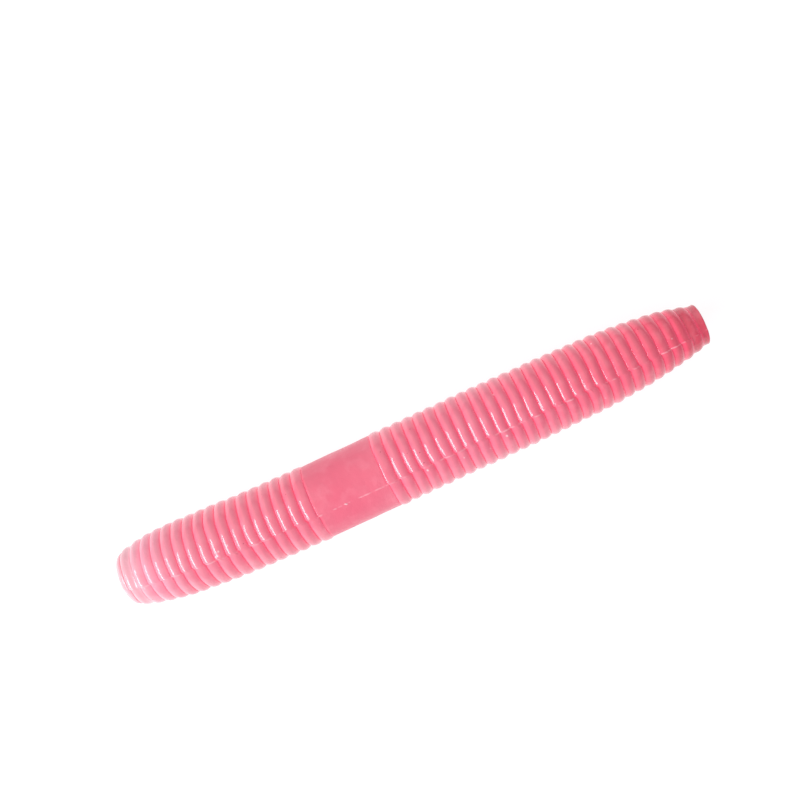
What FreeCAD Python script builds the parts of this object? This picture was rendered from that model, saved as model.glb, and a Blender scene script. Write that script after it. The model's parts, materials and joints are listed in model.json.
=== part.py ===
import FreeCAD, Part
import math
import os

# A ribbed stick worm of soft plastic, in millimetres. It lies along X with its head towards -X
# and +Z up. The origin is on the surface it lies on, under the middle of its length.

# Over the whole length
crestRadius = 4.72          # over the ribs, away from the tapering ends
grooveDepth = 0.28          # from the crest of a rib down to the groove beside it

# Head end: its radius falls off exponentially towards the nose
headRibCount = 17
headRibPitch = 1.43         # one full-width rib, from groove to groove
noseTaper = 2.05            # how much thinner the worm is at the nose face
noseTaperLength = 2.75      # the taper fades by a factor of e over this length
noseShallow = 0.75          # how much shallower, as a share, a groove at the nose face would be
headPitchLoss = 0.07        # how much narrower, as a share, the rib at the nose is
headPitchRun = 6            # the ribs over which that narrowing fades away

# Nose
noseLength = 1.14
noseFlatRadius = 1.5        # the flat middle of the nose face
noseFaceRadius = 2.4        # the whole face, out to where it turns into the side
noseDome = 0.15             # how far the face falls back from its flat middle to its edge

# Smooth band between the two ribbed stretches
bandDrop = 0.09             # how far the band lies below the crests of the ribs
bandLength = 8.8
bandEdge = 0.35             # length over which each end of the band rounds down to its groove
bandDip = 0.03              # how far it goes down there, where the ribs beside it stand up from it

# Tail end, tapering as the head does but further
tailRibCount = 29
tailRibPitch = 1.402
tailTaper = 2.4
tailTaperLength = 6.5
tailPitchLoss = 0.08
tailPitchRun = 9

# Tail tip, cut off flat
tipLength = 1.01
tipFaceRadius = 2.4
tipRounding = 0.12          # how far the edge of the flat end is rounded back

# Necks, where the worm flexes: a cross barrel in the outer rib turns in a cup in the inner one
maxBend = 10.0              # degrees that one neck bends either way
neckGap = 0.15              # between the two ribs of a neck, along the worm's axis
barrelRadius = 0.8
barrelLength = 3.0
barrelClearance = 0.05      # all round the barrel, in its cup

axisHeight = crestRadius
bandRadius = crestRadius - bandDrop
axisLine = FreeCAD.Vector(1, 0, 0)
sideways = FreeCAD.Vector(0, 0, 1)
upward = FreeCAD.Vector(0, 1, 0)


# The pieces in order from nose to tail, each with its length along the worm.

def narrowed(pitch, fromTheEnd, loss, run):
    # The pitch of a rib that is this many ribs away from the end of the worm.
    return pitch * (1 - loss * max(0, run - fromTheEnd) / run)


names = ["nose"]
lengths = [noseLength]
for i in range(headRibCount):
    names.append(f"head_rib_{i + 1:02d}")
    lengths.append(narrowed(headRibPitch, i, headPitchLoss, headPitchRun))
band = len(names)
names.append("smooth_band")
lengths.append(bandLength)
for i in range(tailRibCount):
    names.append(f"tail_rib_{i + 1:02d}")
    lengths.append(narrowed(tailRibPitch, tailRibCount - i, tailPitchLoss, tailPitchRun))
names.append("tail_tip")
lengths.append(tipLength)

noseX = -sum(lengths) / 2
tailX = -noseX
starts = [noseX + sum(lengths[:i]) for i in range(len(lengths))]
ends = starts[1:] + [tailX]


# The rigid links: the band with one rib on each side, then pairs of ribs outwards, of which the last
# pair carries the nose or the tail tip. Each hinge lies in the groove at the start of a piece, and the
# necks bend sideways and upwards by turns.

hinges = []
for count, piece in enumerate(range(band - 1, 1, -2)):
    turning = sideways if count % 2 == 0 else upward
    hinges.append({"x": starts[piece], "inner": piece, "outer": piece - 1, "about": turning})
for count, piece in enumerate(range(band + 2, len(names) - 1, 2)):
    turning = sideways if count % 2 == 0 else upward
    hinges.append({"x": starts[piece], "inner": piece - 1, "outer": piece, "about": turning})


# Outlines are drawn in the half plane above the worm's axis and turned about that axis.

def at(x, radius):
    return FreeCAD.Vector(x, 0, axisHeight + radius)


def line(a, b):
    return Part.LineSegment(a, b).toShape()


def arc(a, b, c):
    return Part.Arc(a, b, c).toShape()


def crest(x):
    atNose = noseTaper * math.exp(-(x - noseX) / noseTaperLength)
    atTail = tailTaper * math.exp(-(tailX - x) / tailTaperLength)
    return crestRadius - atNose - atTail


def groove(x):
    if min(abs(x - starts[band]), abs(x - ends[band])) < 0.001:
        return bandRadius - bandDip
    shallow = noseShallow * math.exp(-(x - noseX) / noseTaperLength)
    return crest(x) - grooveDepth * (1 - shallow)


def ribOutline(start, end):
    middle = (start + end) / 2
    return [
        line(at(start, 0), at(start, groove(start))),
        arc(at(start, groove(start)), at(middle, crest(middle)), at(end, groove(end))),
        line(at(end, groove(end)), at(end, 0)),
    ]


def noseOutline(start, end):
    flatEdge = at(start, noseFlatRadius)
    faceEdge = at(start + noseDome, noseFaceRadius)
    domeMiddle = at(start + noseDome * 0.3, (noseFlatRadius + noseFaceRadius) / 2)
    middle = (start + end) / 2
    return [
        line(at(start, 0), flatEdge),
        arc(flatEdge, domeMiddle, faceEdge),
        arc(faceEdge, at(middle, crest(middle)), at(end, groove(end))),
        line(at(end, groove(end)), at(end, 0)),
    ]


def tipOutline(start, end):
    cornerStart = at(end - tipRounding, tipFaceRadius + tipRounding)
    cornerMiddle = at(end - tipRounding * 0.3, tipFaceRadius + tipRounding * 0.7)
    middle = (start + end) / 2
    return [
        line(at(start, 0), at(start, groove(start))),
        arc(at(start, groove(start)), at(middle, crest(middle)), cornerStart),
        arc(cornerStart, cornerMiddle, at(end, tipFaceRadius)),
        line(at(end, tipFaceRadius), at(end, 0)),
    ]


def bandEnd(x, inward):
    # The rounded end of the band, from its groove up to its full radius.
    rise = bandRadius - groove(x)
    middle = at(x + inward * bandEdge * 0.3, groove(x) + rise * 0.7)
    return arc(at(x, groove(x)), middle, at(x + inward * bandEdge, bandRadius))


def bandOutline(start, end):
    return [
        line(at(start, 0), at(start, groove(start))),
        bandEnd(start, 1),
        line(at(start + bandEdge, bandRadius), at(end - bandEdge, bandRadius)),
        bandEnd(end, -1),
        line(at(end, groove(end)), at(end, 0)),
    ]


def outlineOf(piece):
    if piece == 0:
        return noseOutline(starts[piece], ends[piece])
    if piece == band:
        return bandOutline(starts[piece], ends[piece])
    if piece == len(names) - 1:
        return tipOutline(starts[piece], ends[piece])
    return ribOutline(starts[piece], ends[piece])


def bendingRoom(x):
    # What is taken out round a neck: a narrow gap that opens outwards by half the bend on each side.
    reach = 2 * crestRadius
    near = neckGap / 2
    far = near + reach * math.tan(math.radians(maxBend / 2))
    corners = [at(x - near, 0), at(x - far, reach), at(x + far, reach), at(x + near, 0), at(x - near, 0)]
    return Part.Face(Part.makePolygon(corners))


def barrel(hinge, clearance):
    radius = barrelRadius + clearance
    length = barrelLength + 2 * clearance
    base = at(hinge["x"], 0) - hinge["about"] * (length / 2)
    return Part.makeCylinder(radius, length, base, hinge["about"])


def solidOf(piece):
    outline = outlineOf(piece)
    outline.append(line(at(ends[piece], 0), at(starts[piece], 0)))
    section = Part.Face(Part.Wire(outline))
    for hinge in hinges:
        if piece in (hinge["inner"], hinge["outer"]):
            section = section.cut(bendingRoom(hinge["x"])).Faces[0]
    solid = section.revolve(at(0, 0), axisLine, 360)
    for hinge in hinges:
        if piece == hinge["inner"]:
            solid = solid.cut(barrel(hinge, barrelClearance))
        if piece == hinge["outer"]:
            solid = solid.fuse(barrel(hinge, 0))
    return solid.Solids[0]


os.makedirs("parts", exist_ok=True)
for piece, name in enumerate(names):
    solidOf(piece).exportStep(f"parts/{name}.step")
print(f"{len(names)} pieces and {len(hinges)} necks, {sum(lengths):.2f} mm long")
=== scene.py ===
import bpy
import json
import math
import numpy as np
from mathutils import Matrix, Vector, noise

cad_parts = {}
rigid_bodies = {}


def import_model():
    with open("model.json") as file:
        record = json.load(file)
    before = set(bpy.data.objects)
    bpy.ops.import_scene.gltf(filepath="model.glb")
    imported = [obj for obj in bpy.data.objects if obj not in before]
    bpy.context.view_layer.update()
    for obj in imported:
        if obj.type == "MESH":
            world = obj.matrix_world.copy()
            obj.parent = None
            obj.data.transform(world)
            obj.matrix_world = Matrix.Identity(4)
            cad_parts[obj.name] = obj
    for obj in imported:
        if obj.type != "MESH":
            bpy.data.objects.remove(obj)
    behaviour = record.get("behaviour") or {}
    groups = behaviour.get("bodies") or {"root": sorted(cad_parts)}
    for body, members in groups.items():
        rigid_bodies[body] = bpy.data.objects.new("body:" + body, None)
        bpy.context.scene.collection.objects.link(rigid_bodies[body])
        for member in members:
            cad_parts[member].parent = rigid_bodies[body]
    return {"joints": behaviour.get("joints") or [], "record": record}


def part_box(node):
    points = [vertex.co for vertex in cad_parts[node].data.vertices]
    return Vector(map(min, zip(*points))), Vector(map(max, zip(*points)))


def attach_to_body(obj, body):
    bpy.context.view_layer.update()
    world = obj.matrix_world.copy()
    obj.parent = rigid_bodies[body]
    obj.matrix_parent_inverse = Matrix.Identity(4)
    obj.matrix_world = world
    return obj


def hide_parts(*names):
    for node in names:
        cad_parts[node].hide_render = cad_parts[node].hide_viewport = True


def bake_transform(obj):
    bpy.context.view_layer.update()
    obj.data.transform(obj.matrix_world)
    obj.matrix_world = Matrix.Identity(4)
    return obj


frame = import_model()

print("frame loaded")
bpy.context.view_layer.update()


# How the frame lays the worm out, from nose to tail

joints = frame["joints"]
bodies = frame["record"]["behaviour"]["bodies"]
bodyOf = {node: body for body, nodes in bodies.items() for node in nodes}
order = sorted(bodyOf, key=lambda node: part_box(node)[0].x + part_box(node)[1].x)
axisHeight = joints[0]["pos_m"][2]


def jointBetween(one, other):
    for joint in joints:
        if {joint["parent"], joint["child"]} == {bodyOf[one], bodyOf[other]}:
            return joint


def grooveAfter(node, following):
    joint = jointBetween(node, following)
    return joint["pos_m"][0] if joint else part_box(node)[1].x


def crestOf(node):
    low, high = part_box(node)
    return (high.z - low.z) / 2


grooves = [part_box(order[0])[0].x]
grooves += [grooveAfter(one, other) for one, other in zip(order, order[1:])]
grooves.append(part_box(order[-1])[1].x)
crests = [crestOf(node) for node in order]
noseX, tailX = grooves[0], grooves[-1]
mm = 0.001


# The casting: what the two halves of the mould and the pouring leave on an otherwise round worm

casting = {
    "around": 256,            # corners of each ring
    "seamAngle": -21,         # degrees from straight up, towards the near side
    "seamShift": 0.20 * mm,   # the near half lies this much further towards the tail
    "seamWidth": 0.10 * mm,
    "flash": 0.035 * mm,      # height of the thin fin along the seam
    "flashWidth": 0.09 * mm,
    "crumb": 0.16 * mm,       # bits of torn flash beside the seam
    "crumbSize": 0.42 * mm,
    "crumbReach": 0.45 * mm,
    "crumbFloor": 0.2,        # bits smaller than this share are left off
    "patchSize": 6 * mm,      # stretches of seam with many bits and with few
    "flashSize": 1.1 * mm,
    "wobble": 0.11 * mm,      # how far a groove wanders along the worm
    "wobbleSize": 3.2 * mm,
    "lump": 0.042 * mm,       # how far the skin rises and sinks
    "lumpSize": 1.9 * mm,
    "endReach": 1.2 * mm,     # all of these fade over this length at each end, down to endLeast
    "endLeast": 0.15,
    "coreRadius": 2.2 * mm,   # and inwards from this radius, so that the end faces stay plain
    "bow": [  # mm along, mm to the far side
        (-37.0, 0.62), (-30.0, 0.27), (-23.0, -0.07), (-16.0, -0.22), (-8.0, -0.21), (0.0, -0.13),
        (8.0, -0.08), (16.0, -0.04), (24.0, 0.03), (31.0, 0.15), (37.0, 0.16)],
    "stretch": [  # mm along, mm towards the tail
        (-37.6, 0.02), (-31.5, 0.08), (-26.8, 0.06), (-17.2, 0.04), (-12.5, 0.09), (-2.9, 0.23), (1.8, 0.26),
        (6.6, 0.27), (11.4, 0.25), (16.1, 0.21), (20.9, 0.12), (25.7, -0.01), (30.4, -0.10), (37.6, 0.0)],
}
bowCurve = np.polyfit(*zip(*casting["bow"]), 6)


def seamSide(y, z):
    # Signed distance from the plane between the two mould halves, positive on the near half
    lean = math.radians(casting["seamAngle"] - 90)
    return y * math.sin(lean) + z * math.cos(lean)


def unevenness(points, size, seed):
    # Smooth noise, about -1 to 1, with lumps of this size
    offset = Vector((seed, seed * 2.7, -seed))
    return np.array([noise.noise(Vector(point) / size + offset) for point in points])


def castShape(points):
    # Moves the points of a perfect round worm to where the casting has them
    x, y, z = points[:, 0], points[:, 1], points[:, 2] - axisHeight
    radius = np.maximum(np.hypot(y, z), 1e-7)
    side = seamSide(y, z)
    fade = np.clip(np.minimum(x - noseX, tailX - x) / casting["endReach"], casting["endLeast"], 1)
    skin = np.clip(radius / casting["coreRadius"], 0, 1)
    along = casting["seamShift"] / 2 * np.tanh(side / casting["seamWidth"])
    along += casting["wobble"] * unevenness(points, casting["wobbleSize"], 3)
    outward = casting["lump"] * unevenness(points, casting["lumpSize"], 11)
    fin = np.exp(-(side / casting["flashWidth"]) ** 2)
    outward += casting["flash"] * fin * (0.5 + unevenness(points, casting["flashSize"], 23))
    crumbs = np.maximum(0, unevenness(points, casting["crumbSize"], 31) - casting["crumbFloor"])
    patches = np.clip(0.4 + 2 * unevenness(points, casting["patchSize"], 37), 0, 1)
    outward += casting["crumb"] * crumbs * patches * np.exp(-(side / casting["crumbReach"]) ** 2)
    moved = points.copy()
    moved[:, 0] += along * fade * skin + mm * np.interp(x / mm, *zip(*casting["stretch"]))
    moved[:, 0] -= np.polyval(np.polyder(bowCurve), x / mm) * y
    moved[:, 1] += outward * skin * fade * y / radius + mm * np.polyval(bowCurve, x / mm)
    moved[:, 2] += outward * skin * fade * z / radius
    return moved


# Outlines, as (distance along, radius) from the nose side to the tail side

def arcThrough(start, middle, end, steps):
    # Points on the arc of a circle through three points, without the first
    (ax, ay), (bx, by), (cx, cy) = start, middle, end
    d = 2 * (ax * (by - cy) + bx * (cy - ay) + cx * (ay - by))
    a2, b2, c2 = ax * ax + ay * ay, bx * bx + by * by, cx * cx + cy * cy
    ux = (a2 * (by - cy) + b2 * (cy - ay) + c2 * (ay - by)) / d
    uy = (a2 * (cx - bx) + b2 * (ax - cx) + c2 * (bx - ax)) / d
    radius = math.hypot(ax - ux, ay - uy)
    first = math.atan2(ay - uy, ax - ux)
    last = math.atan2(cy - uy, cx - ux)
    turn = (last - first + math.pi) % (2 * math.pi) - math.pi
    angles = [first + turn * (i + 1) / steps for i in range(steps)]
    return [(ux + radius * math.cos(a), uy + radius * math.sin(a)) for a in angles]


ribs = {
    "grooveDepth": 0.28 * mm,
    "shallow": 0.85,          # how much shallower, as a share, a groove at the nose face would be
    "shallowReach": 4.5 * mm,
    "tailShallow": 0.75,      # the same at the tail end
    "tailReach": 5.0 * mm,
    "softness": 0.15,         # 0 is a full bulge, 1 is a wave
    "fullness": 0.88,         # below 1 the sides are steeper beside the groove
    "shoulder": 3.2,          # a rib beside the smooth band stands up this abruptly, 2 being an arc
    "steps": 18,
}


def grooveRadius(i):
    # Radius at the groove between piece i - 1 and piece i
    if "smooth_band" in (order[i - 1], order[i]):
        return crests[order.index("smooth_band")] - band["drop"] - band["dip"]
    shallow = ribs["shallow"] * math.exp((noseX - grooves[i]) / ribs["shallowReach"])
    shallow += ribs["tailShallow"] * math.exp((grooves[i] - tailX) / ribs["tailReach"])
    return (crests[i - 1] + crests[i]) / 2 - ribs["grooveDepth"] * (1 - shallow)


def ribOutline(i):
    start, end = grooves[i], grooves[i + 1]
    outline = []
    for step in range(ribs["steps"] + 1):
        share = step / ribs["steps"]
        valley = grooveRadius(i) * (1 - share) + grooveRadius(i + 1) * share
        beside = order[i - 1] if share < 0.5 else order[i + 1]
        arch = 1 - abs(2 * share - 1) ** (ribs["shoulder"] if beside == "smooth_band" else 2)
        wave = (1 - math.cos(2 * math.pi * share)) / 2
        softness = 0 if beside == "smooth_band" else ribs["softness"]
        bulge = arch ** ribs["fullness"] * (1 - softness) + wave * softness
        outline.append((start + (end - start) * share, valley + (crests[i] - valley) * bulge))
    return outline


nose = {"flatRadius": 1.5 * mm, "faceRadius": 2.4 * mm, "dome": 0.15 * mm, "shoulder": 0.98, "steps": 14}


def noseOutline():
    start, end = grooves[0], grooves[1]
    flatEdge = (start, nose["flatRadius"])
    faceEdge = (start + nose["dome"], nose["faceRadius"])
    domeMiddle = (start + nose["dome"] * 0.3, (nose["flatRadius"] + nose["faceRadius"]) / 2)
    shoulder = ((start + end) / 2, crests[0] * nose["shoulder"])
    outline = [(start, nose["flatRadius"] * share) for share in (0.2, 0.5, 0.8)]
    outline.append(flatEdge)
    outline += arcThrough(flatEdge, domeMiddle, faceEdge, 4)
    outline += arcThrough(faceEdge, shoulder, (end, grooveRadius(1)), nose["steps"])
    return outline


tip = {"faceRadius": 2.4 * mm, "rounding": 0.12 * mm, "shoulder": 0.992, "steps": 12}


def tipOutline():
    start, end = grooves[-2], grooves[-1]
    corner = (end - tip["rounding"], tip["faceRadius"] + tip["rounding"])
    cornerMiddle = (end - tip["rounding"] * 0.3, tip["faceRadius"] + tip["rounding"] * 0.7)
    faceEdge = (end, tip["faceRadius"])
    outline = [(start, grooveRadius(len(order) - 1))]
    outline += arcThrough(outline[0], ((start + end) / 2, crests[-1] * tip["shoulder"]), corner, tip["steps"])
    outline += arcThrough(corner, cornerMiddle, faceEdge, 4)
    outline += [(end, tip["faceRadius"] * share) for share in (0.8, 0.5, 0.2)]
    return outline


band = {"edge": 0.35 * mm, "drop": 0.05 * mm, "dip": 0.03 * mm, "hollow": 0.6, "steps": 34, "endSteps": 6}


def bandOutline(i):
    start, end = grooves[i], grooves[i + 1]
    radius = crests[i] - band["drop"]
    first, last = (start, grooveRadius(i)), (end, grooveRadius(i + 1))
    rise = radius - first[1]
    fall = radius - last[1]
    top, bottom = (start + band["edge"], radius), (end - band["edge"], radius)
    firstMiddle = (start + band["edge"] * 0.3, first[1] + rise * 0.7)
    lastMiddle = (end - band["edge"] * 0.3, last[1] + fall * 0.7)
    outline = [first] + arcThrough(first, firstMiddle, top, band["endSteps"])
    for step in range(1, band["steps"] + 1):
        outline.append((top[0] + (bottom[0] - top[0]) * step / band["steps"], radius))
    outline += arcThrough(bottom, lastMiddle, last, band["endSteps"])
    return outline


# Modelling: a disc is pulled out along the worm, ring by ring, and resized at each ring

def deselectAll():
    bpy.ops.object.select_all(action="DESELECT")


def ringSolid(name, outline):
    deselectAll()
    x, radius = outline[0]
    bpy.ops.mesh.primitive_circle_add(
        vertices=casting["around"], radius=radius, fill_type="NGON",
        location=(x, 0, axisHeight), rotation=(0, math.radians(90), 0))
    piece = bpy.context.active_object
    piece.name = piece.data.name = name
    bpy.ops.object.transform_apply(location=True, rotation=True, scale=True)
    bpy.ops.object.mode_set(mode="EDIT")
    bpy.ops.mesh.select_all(action="SELECT")
    for nextX, nextRadius in outline[1:]:
        bpy.ops.mesh.extrude_region_move(TRANSFORM_OT_translate={"value": (nextX - x, 0, 0)})
        share = nextRadius / radius
        bpy.ops.transform.resize(value=(1, share, share), center_override=(nextX, 0, axisHeight))
        x, radius = nextX, nextRadius
    bpy.ops.mesh.select_all(action="SELECT")
    bpy.ops.mesh.normals_make_consistent(inside=False)
    bpy.ops.object.mode_set(mode="OBJECT")
    bpy.ops.object.shade_smooth()
    return piece


def flattenCaps(piece, closedAtNose, closedAtTail):
    # The faces that meet a neighbour keep a sharp edge, so that each groove stays crisp
    for face in piece.data.polygons:
        if len(face.vertices) > 4:
            atNose = face.normal.x < 0
            face.use_smooth = (atNose and not closedAtNose) or (not atNose and not closedAtTail)


def hollowAt(x, radius, i):
    # 0 on the crest of a rib and 1 at the bottom of a groove; it places the painted groove shade and glow
    share = (x - grooves[i]) / (grooves[i + 1] - grooves[i])
    if order[i] == "smooth_band":
        near = min(x - grooves[i], grooves[i + 1] - x) / band["edge"]
        return band["hollow"] * max(0.0, 1 - near) ** 2
    nearer = i if share < 0.5 else i + 1
    if nearer in (0, len(order)):
        return 0.0
    return min(1.0, max(0.0, (crests[i] - radius) / (crests[i] - grooveRadius(nearer))))


def castPiece(piece, i):
    # Stores where each point of the perfect worm was, for the plastic, and then casts the shape
    mesh = piece.data
    points = np.zeros(len(mesh.vertices) * 3)
    mesh.vertices.foreach_get("co", points)
    points = points.reshape(-1, 3)
    place = mesh.attributes.new("castPlace", "FLOAT_VECTOR", "POINT")
    place.data.foreach_set("vector", ((points - [0, 0, axisHeight]) / mm).ravel())
    hollow = mesh.attributes.new("hollow", "FLOAT", "POINT")
    radii = np.hypot(points[:, 1], points[:, 2] - axisHeight)
    hollow.data.foreach_set("value", [hollowAt(x, r, i) for x, r in zip(points[:, 0], radii)])
    mesh.vertices.foreach_set("co", castShape(points).ravel())
    mesh.update()


# Shader maths: a wire is one output socket, and arithmetic on it adds Math nodes

class Wire:
    def __init__(self, paint, socket):
        self.paint = paint
        self.socket = socket

    def maths(self, operation, *values):
        return self.paint.node("ShaderNodeMath", {"operation": operation}, dict(enumerate(values)))

    def __add__(self, other):
        return self.maths("ADD", self, other)

    def __sub__(self, other):
        return self.maths("SUBTRACT", self, other)

    def __mul__(self, other):
        return self.maths("MULTIPLY", self, other)

    def __truediv__(self, other):
        return self.maths("DIVIDE", self, other)

    def __pow__(self, other):
        return self.maths("POWER", self, other)

    def __gt__(self, other):
        return self.maths("GREATER_THAN", self, other)


class Paint:
    def __init__(self, name):
        self.material = bpy.data.materials.new(name)
        self.material.use_nodes = True
        self.tree = self.material.node_tree
        self.tree.nodes.clear()

    def node(self, kind, settings=None, sockets=None, output=0):
        made = self.tree.nodes.new(kind)
        for key, value in (settings or {}).items():
            if key == "stops":
                setStops(made.color_ramp, value)
            else:
                setattr(made, key, value)
        for key, value in (sockets or {}).items():
            if isinstance(value, Wire):
                self.tree.links.new(value.socket, made.inputs[key])
            else:
                made.inputs[key].default_value = value
        return Wire(self, made.outputs[output]) if made.outputs else None

    def ramp(self, value, start, end, low=0.0, high=1.0):
        return self.node("ShaderNodeMapRange", {"clamp": True}, {0: value, 1: start, 2: end, 3: low, 4: high})

    def mix(self, factor, one, other):
        return self.node("ShaderNodeMix", {"data_type": "RGBA"}, {0: factor, 6: one, 7: other}, 2)


def setStops(ramp, stops):
    while len(ramp.elements) > 1:
        ramp.elements.remove(ramp.elements[-1])
    for i, (position, colour) in enumerate(stops):
        element = ramp.elements[0] if i == 0 else ramp.elements.new(position)
        element.position = position
        element.color = colour


def tone(red, green, blue):
    # A colour as a paint chart gives it, 0 to 255, made linear
    parts = [value / 255 for value in (red, green, blue)]
    return [p / 12.92 if p <= 0.04045 else ((p + 0.055) / 1.055) ** 2.4 for p in parts] + [1]


# The plastic: one dye lot, with painted light along it: palest at the nose, which faces the light, and
# reddest at the tail, which is turned away from it

plastic = {
    # painted light: the pale nose and the red tail stand in for how the light falls along the worm
    "dye": [  # mm along the worm, colour
        (-37.5, (235, 184, 191)),
        (-33.4, (242, 158, 177)),
        (-29.9, (238, 140, 158)),
        (-24.0, (239, 129, 148)),
        (-16.0, (236, 123, 142)),
        (-9.0, (234, 109, 132)),
        (-2.0, (237, 121, 141)),
        (8.0, (234, 121, 142)),
        (22.0, (231, 105, 126)),
        (29.0, (226, 100, 120)),
        (36.0, (212, 68, 90)),
    ],
    "seed": 1.0,
    "wander": 0.8,                # mm that the dye strays along the worm
    "wanderScale": 0.35,
    "paleDye": (252, 172, 184),
    "deepDye": (236, 98, 124),
    "blotch": 0.16,
    "blotchScale": 0.55,
    "clearReach": 9,              # mm from the nose over which the painted groove shade and glow grow to full strength
    "clearest": 0.25,
    # painted shade: the grooves are painted a deeper pink, strongest at their bottom
    "grooveDye": (232, 78, 112),
    "grooveAmount": 0.5,
    "grooveFall": 1.5,            # how quickly the painted shade falls off up the sides of a rib
    "glowDye": (255, 70, 110),    # painted light: emission in the grooves, standing in for light that comes through the plastic
    "glow": 0.30,
    "glowFall": 0.8,
    "seamDye": (255, 200, 208),
    "seamAmount": 0.55,
    "seamWidth": 0.13,
    "faceEdge": (5.8, 6.6),       # squared radius where the end faces give way to the sides
    "nearSeam": (2.6, 0.6),       # mm from the seam where chips begin, and where they are all there
    "specks": {
        "dye": (150, 22, 48), "amount": 0.55,
        "scale": 0.75, "size": 0.085, "share": 0.22, "shift": 40.0},
    "bubbles": {
        "dye": (255, 214, 222), "amount": 0.5,
        "scale": 0.62, "size": 0.10, "share": 0.14, "shift": 80.0},
    "chips": {
        "dye": (255, 218, 222), "amount": 0.7,
        "scale": 0.9, "size": 0.17, "share": 0.13, "shift": 120.0},
    "roughness": 0.36,
    "roughnessSpread": 0.14,
    "ior": 1.3, "coatIor": 1.5, "coatRoughness": 0.10,
    "heights": {"waves": 0.05, "grain": 0.012, "bubbles": 0.03, "seam": 0.02, "chips": 0.05},
    "finishes": {  # name, strength of the bumps, gloss
        "nose_plastic": ("nosePlastic", 0.6, 0.5),
        "head_plastic": ("headRibPlastic", 0.8, 0.9),
        "band_plastic": ("bandPlastic", 1.0, 0.25),
        "tail_plastic": ("tailRibPlastic", 0.8, 0.9),
    },
}


def softPlastic(name, bumpStrength, gloss):
    paint = Paint(name)
    place = paint.node("ShaderNodeAttribute", {"attribute_name": "castPlace"}, output="Vector")
    hollow = paint.node("ShaderNodeAttribute", {"attribute_name": "hollow"}, output="Fac")
    along, across, above = (
        paint.node("ShaderNodeSeparateXYZ", sockets={0: place}, output=axis) for axis in "XYZ")
    seed = plastic["seed"]

    def movedBy(*offset):
        return paint.node("ShaderNodeVectorMath", {"operation": "ADD"}, {0: place, 1: offset})

    def cloud(scale, detail, shift=0.0):
        moved = movedBy(seed + shift, shift, -seed)
        return paint.node("ShaderNodeTexNoise", sockets={"Vector": moved, "Scale": scale, "Detail": detail})

    def dots(mark):
        # Small round dots, in the share of the cells that is chosen
        moved = movedBy(mark["shift"], seed, mark["shift"])
        settings, sockets = {"feature": "F1"}, {"Vector": moved, "Scale": mark["scale"], "Randomness": 1.0}
        distance = paint.node("ShaderNodeTexVoronoi", settings, sockets, "Distance")
        cell = paint.node("ShaderNodeTexVoronoi", settings, sockets, "Color")
        pick = paint.node("ShaderNodeSeparateColor", sockets={0: cell}, output=0) > 1 - mark["share"]
        return paint.ramp(distance, mark["size"], mark["size"] * 0.5) * pick

    def marked(colour, where, mark):
        return paint.mix(where * mark["amount"], colour, tone(*mark["dye"]))

    # painted light: the colour runs pale at the nose and red at the tail, standing in for how the light falls
    # along the worm
    length = (tailX - noseX) / mm
    stops = [((x - noseX / mm) / length, tone(*colour)) for x, colour in plastic["dye"]]
    wander = cloud(plastic["wanderScale"], 2.0, 5.0) * (2 * plastic["wander"]) - plastic["wander"]
    dye = paint.node("ShaderNodeValToRGB", {"stops": stops}, {0: (along + wander - noseX / mm) / length})
    blotches = cloud(plastic["blotchScale"], 3.0)
    pale = paint.ramp(blotches, 0.5, 0.72, 0.0, plastic["blotch"])
    deep = paint.ramp(blotches, 0.5, 0.3, 0.0, plastic["blotch"])
    colour = paint.mix(pale, dye, tone(*plastic["paleDye"]))
    colour = paint.mix(deep, colour, tone(*plastic["deepDye"]))
    # the painted groove shade and glow are faint at the nose and grow to full strength along the worm
    shadeAndGlowRamp = paint.ramp(along, noseX / mm, noseX / mm + plastic["clearReach"], plastic["clearest"], 1.0)
    # painted shade: deeper pink mixed in down the sides of each rib into the groove, where the shade falls
    shade = hollow ** plastic["grooveFall"] * plastic["grooveAmount"] * shadeAndGlowRamp
    colour = paint.mix(shade, colour, tone(*plastic["grooveDye"]))

    side = seamSide(across, above)
    apart = side.maths("ABSOLUTE", side)
    onSide = paint.ramp(across * across + above * above, *plastic["faceEdge"])
    broken = paint.ramp(cloud(0.9, 4.0, 21.0), 0.5, 0.62)
    seam = paint.ramp(apart, 0.0, plastic["seamWidth"], 1.0, 0.0) * broken * onSide
    colour = paint.mix(seam * plastic["seamAmount"], colour, tone(*plastic["seamDye"]))
    specks, bubbles = dots(plastic["specks"]), dots(plastic["bubbles"])
    chips = dots(plastic["chips"]) * paint.ramp(apart, *plastic["nearSeam"]) * onSide
    colour = marked(colour, specks, plastic["specks"])
    colour = marked(colour, bubbles, plastic["bubbles"])
    colour = marked(colour, chips, plastic["chips"])

    rough = (cloud(1.7, 3.0, 9.0) - 0.5) * plastic["roughnessSpread"] + plastic["roughness"]
    heights = plastic["heights"]
    height = cloud(1.3, 2.0, 2.0) * heights["waves"] + cloud(6.0, 3.0, 4.0) * heights["grain"]
    height = height + bubbles * heights["bubbles"] + seam * heights["seam"] + chips * heights["chips"]
    normal = paint.node("ShaderNodeBump", sockets={
        "Strength": bumpStrength, "Distance": mm, "Height": height})
    # painted light: the grooves glow, standing in for light scattered through the plastic and lifting their
    # shaded sides
    glow = paint.mix(hollow ** plastic["glowFall"] * shadeAndGlowRamp, (0, 0, 0, 1), tone(*plastic["glowDye"]))
    surface = paint.node("ShaderNodeBsdfPrincipled", sockets={
        "Base Color": colour, "Roughness": rough, "Normal": normal,
        "IOR": plastic["ior"], "Coat Weight": gloss, "Coat IOR": plastic["coatIor"],
        "Coat Roughness": plastic["coatRoughness"],
        "Emission Color": glow, "Emission Strength": plastic["glow"]})
    paint.node("ShaderNodeOutputMaterial", sockets={"Surface": surface})
    return paint.material


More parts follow.
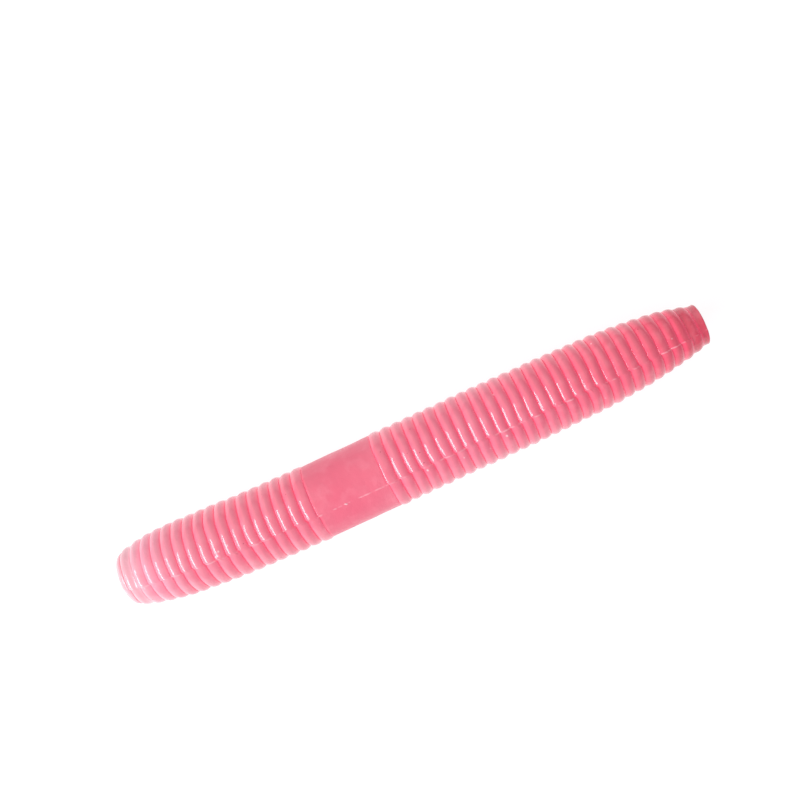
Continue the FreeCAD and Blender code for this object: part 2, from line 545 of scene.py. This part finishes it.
slotPlastics = {slot: softPlastic(*finish) for slot, finish in plastic["finishes"].items()}
slotOf = {part["node"]: part["material_slot"] for part in frame["record"]["subparts"]}
print("plastics mixed")


# Each CAD piece gets its own cast piece, attached to its body when no joint lies beside it

def outlineOf(i):
    if i == 0:
        return noseOutline()
    if i == len(order) - 1:
        return tipOutline()
    if order[i] == "smooth_band":
        return bandOutline(i)
    return ribOutline(i)


def neckOf(i):
    # The joint beside piece i, with the grooves one rib away on each side of it
    for left in (i - 1, i):
        if 0 <= left < len(order) - 1:
            joint = jointBetween(order[left], order[left + 1])
            if joint:
                return joint, left
    return None, None


def attach(piece, i):
    joint, left = neckOf(i)
    if joint is None:
        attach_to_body(piece, bodyOf[order[i]])
        return
    headSide, tailSide = grooves[left], grooves[left + 2]
    one, other = bodyOf[order[left]], bodyOf[order[left + 1]]
    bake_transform(piece)


for i, node in enumerate(order):
    piece = ringSolid(node.replace("_", " ").title().replace(" ", "") + "Skin", outlineOf(i))
    flattenCaps(piece, i != 0, i != len(order) - 1)
    castPiece(piece, i)
    piece.data.materials.append(slotPlastics[slotOf[node]])
    attach(piece, i)
    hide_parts(node)
print(f"{len(order)} pieces cast")


# The table, the light and the camera

studio = {
    "floorSize": 1.6,
    "floorDye": (150, 150, 150),
    "floorGlow": 2.6,
    "floorBelow": 0.05 * mm,
    "sky": 0.46, "skyTone": (0.92, 0.95, 1.0, 1.0),
    "keyDistance": 0.50, "keyLift": 36, "keySwing": -11, "keyWide": 0.50, "keyTall": 0.12, "keyPower": 2.4,
    "keyTone": (1.0, 0.97, 0.95),
    "farPlace": (0.0, 0.45, 0.55), "farSize": 1.2, "farPower": 1.9, "farTone": (1.0, 0.91, 0.87),
    "nearPlace": (0.0, -0.45, 0.3), "nearSize": 0.8, "nearPower": 0.45, "nearTone": (0.95, 0.75, 1.0),
}


def palePaint():
    paint = Paint("paleTable")
    grain = paint.node("ShaderNodeTexNoise", sockets={"Scale": 40.0, "Detail": 2.0})
    low = [value * 0.985 for value in tone(*studio["floorDye"])[:3]] + [1]
    colour = paint.mix(grain, low, tone(*studio["floorDye"]))
    surface = paint.node("ShaderNodeBsdfPrincipled", sockets={
        "Base Color": colour, "Roughness": 0.8,
        "Emission Color": tone(*studio["floorDye"]), "Emission Strength": studio["floorGlow"]})
    paint.node("ShaderNodeOutputMaterial", sockets={"Surface": surface})
    return paint.material


def layTable():
    deselectAll()
    bpy.ops.mesh.primitive_plane_add(size=studio["floorSize"], location=(0, 0, -studio["floorBelow"]))
    floor = bpy.context.active_object
    floor.name = "paleTable"
    bpy.ops.object.transform_apply(location=True, rotation=True, scale=True)
    floor.data.materials.append(palePaint())


def aim(thing, target):
    thing.rotation_mode = "QUATERNION"
    thing.rotation_quaternion = (Vector(target) - thing.location).to_track_quat("-Z", "Y")


def softLight(name, place, wide, tall, power, tint):
    deselectAll()
    bpy.ops.object.light_add(type="AREA", location=place)
    lamp = bpy.context.active_object
    lamp.name = name
    lamp.data.shape = "RECTANGLE"
    lamp.data.size, lamp.data.size_y = wide, tall
    lamp.data.energy = power
    lamp.data.color = tint
    aim(lamp, (0, 0, axisHeight))


def lightStudio():
    lift, swing = math.radians(studio["keyLift"]), math.radians(studio["keySwing"])
    outward, up = studio["keyDistance"] * math.cos(lift), studio["keyDistance"] * math.sin(lift)
    key = (-outward * math.cos(swing), outward * math.sin(swing), up)
    softLight("headLight", key, studio["keyWide"], studio["keyTall"], studio["keyPower"], studio["keyTone"])
    for side in ("far", "near"):
        place, size, power, tint = (studio[side + part] for part in ("Place", "Size", "Power", "Tone"))
        softLight(side + "Light", place, size, size, power, tint)
    world = bpy.data.worlds.new("paleRoom")
    world.use_nodes = True
    background = world.node_tree.nodes["Background"].inputs
    background["Color"].default_value = studio["skyTone"]
    background["Strength"].default_value = studio["sky"]
    bpy.context.scene.world = world
    bpy.context.scene.view_settings.view_transform = "Standard"


lens = {
    "height": 128 * mm,             # above the worm's axis
    "over": (7.0 * mm, 0.0),        # straight above this point
    "target": (1.63 * mm, 6.72 * mm),
    "slope": 24.43,                 # degrees that the worm climbs across the view
    "focal": 48.32,
}


def setCamera():
    slope = math.radians(lens["slope"])
    place = Vector((*lens["over"], axisHeight + lens["height"]))
    ahead = (Vector((*lens["target"], axisHeight)) - place).normalized()
    right = ahead.cross(Vector((math.sin(slope), math.cos(slope), 0))).normalized()
    up = right.cross(ahead)
    bpy.ops.object.camera_add(location=place)
    camera = bpy.context.active_object
    camera.rotation_mode = "QUATERNION"
    camera.rotation_quaternion = Matrix((right, up, -ahead)).transposed().to_quaternion()
    camera.data.lens = lens["focal"]
    camera.data.clip_start, camera.data.clip_end = 0.005, 10
    bpy.context.scene.camera = camera


layTable()
lightStudio()
setCamera()
print("studio ready")

bpy.context.view_layer.update()
